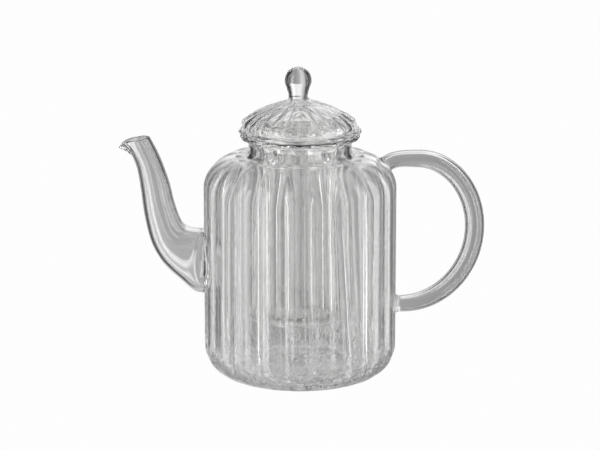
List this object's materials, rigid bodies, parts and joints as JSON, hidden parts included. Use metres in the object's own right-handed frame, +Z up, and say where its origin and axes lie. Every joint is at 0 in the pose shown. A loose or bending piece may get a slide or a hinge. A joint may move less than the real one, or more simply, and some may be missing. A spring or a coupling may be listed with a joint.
{
  "type": "glass teapot",
  "caption": "Ribbed clear glass teapot with an S-curved spout, a hollow loop handle, a hanging glass infuser and a domed lid with a solid pear-shaped knob.",
  "frame": {"origin": "on the pot's axis, level with the ring it stands on", "axes": "+Z up along the pot's axis, -X towards the spout, +X towards the handle, +Y to the left of someone looking from the spout to the handle"},
  "size_m": [0.1896, 0.1, 0.1626],
  "materials": {
    "pot_glass": "clear, ribbed",
    "tube_glass": "clear, smooth",
    "infuser_glass": "clear, ribbed",
    "lid_glass": "clear, ribbed",
    "knob_glass": "clear, solid, smooth",
    "seam_glass": "clear, fused"
  },
  "bodies": {
    "pot": {"pot_body": "pot_glass", "spout_weld": "seam_glass", "spout": "tube_glass", "handle_tube": "tube_glass", "handle_top_weld": "seam_glass", "handle_bottom_weld": "seam_glass"},
    "infuser": {"infuser_cup": "infuser_glass"},
    "lid": {"lid_dome": "lid_glass", "lid_locating_ring": "lid_glass", "lid_knob": "knob_glass", "lid_knob_weld": "seam_glass"}
  },
  "joints": [
    {"name": "infuser_lift", "type": "slide", "parent": "pot", "child": "infuser", "axis": [0, 0, 1], "range_m": [0, 0.11]},
    {"name": "lid_lift", "type": "slide", "parent": "infuser", "child": "lid", "axis": [0, 0, 1], "range_m": [0, 0.05]}
  ]
}
